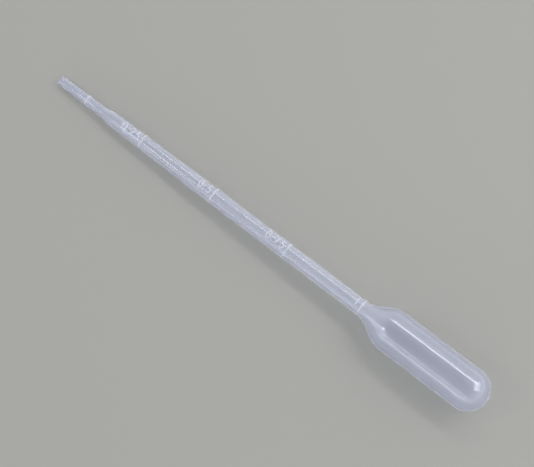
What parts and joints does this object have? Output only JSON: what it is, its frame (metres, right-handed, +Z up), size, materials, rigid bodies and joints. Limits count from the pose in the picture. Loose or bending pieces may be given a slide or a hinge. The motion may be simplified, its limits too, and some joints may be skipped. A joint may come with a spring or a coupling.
{
  "type": "plastic dropper pipette",
  "caption": "Disposable plastic dropper pipette moulded in one piece: squeeze bulb, graduated stem and drawn open tip.",
  "frame": {"origin": "centre of the footprint, on the ground that the pipette lies on", "axes": "+X along the pipette from its tip to its bulb, +Z up, +Y across it; its own axis rises about 2.4 degrees from the tip"},
  "size_m": [0.1564, 0.013, 0.014],
  "materials": {
    "milky_polyethylene": "smooth moulded low-density polyethylene, clear with a milky blue cast"
  },
  "bodies": {
    "root": {"pipette": "milky_polyethylene"}
  },
  "joints": []
}
